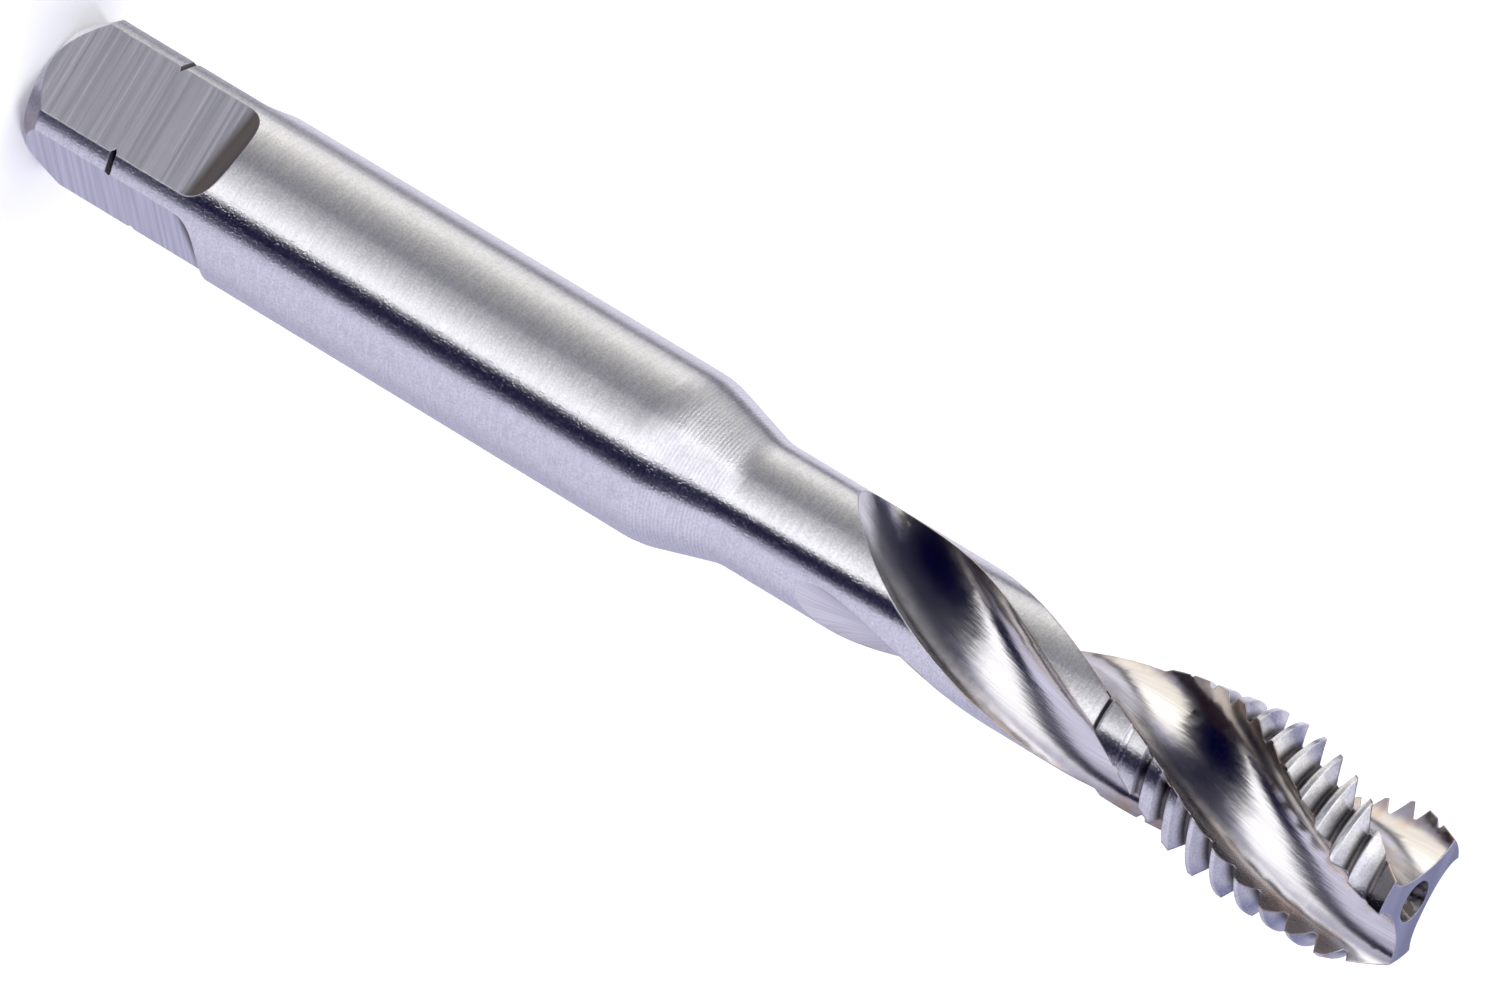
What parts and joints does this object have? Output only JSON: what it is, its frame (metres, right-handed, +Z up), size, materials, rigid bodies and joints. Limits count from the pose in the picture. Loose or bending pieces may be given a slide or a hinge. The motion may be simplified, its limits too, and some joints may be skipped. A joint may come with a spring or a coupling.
{
  "type": "spiral-flute machine tap",
  "caption": "Spiral-flute machine tap with a round shank, a driving square, a reduced neck and a short cutting thread with a bottoming chamfer.",
  "frame": {"origin": "centre of the square end's face, on which the tap stands", "axes": "+Z up along the tap's axis towards its cutting end"},
  "size_m": [0.008, 0.008, 0.072],
  "materials": {
    "ground_steel": "ground and polished high-speed steel, bright, with a satin shank"
  },
  "bodies": {
    "root": {"tap": "ground_steel"}
  },
  "joints": []
}
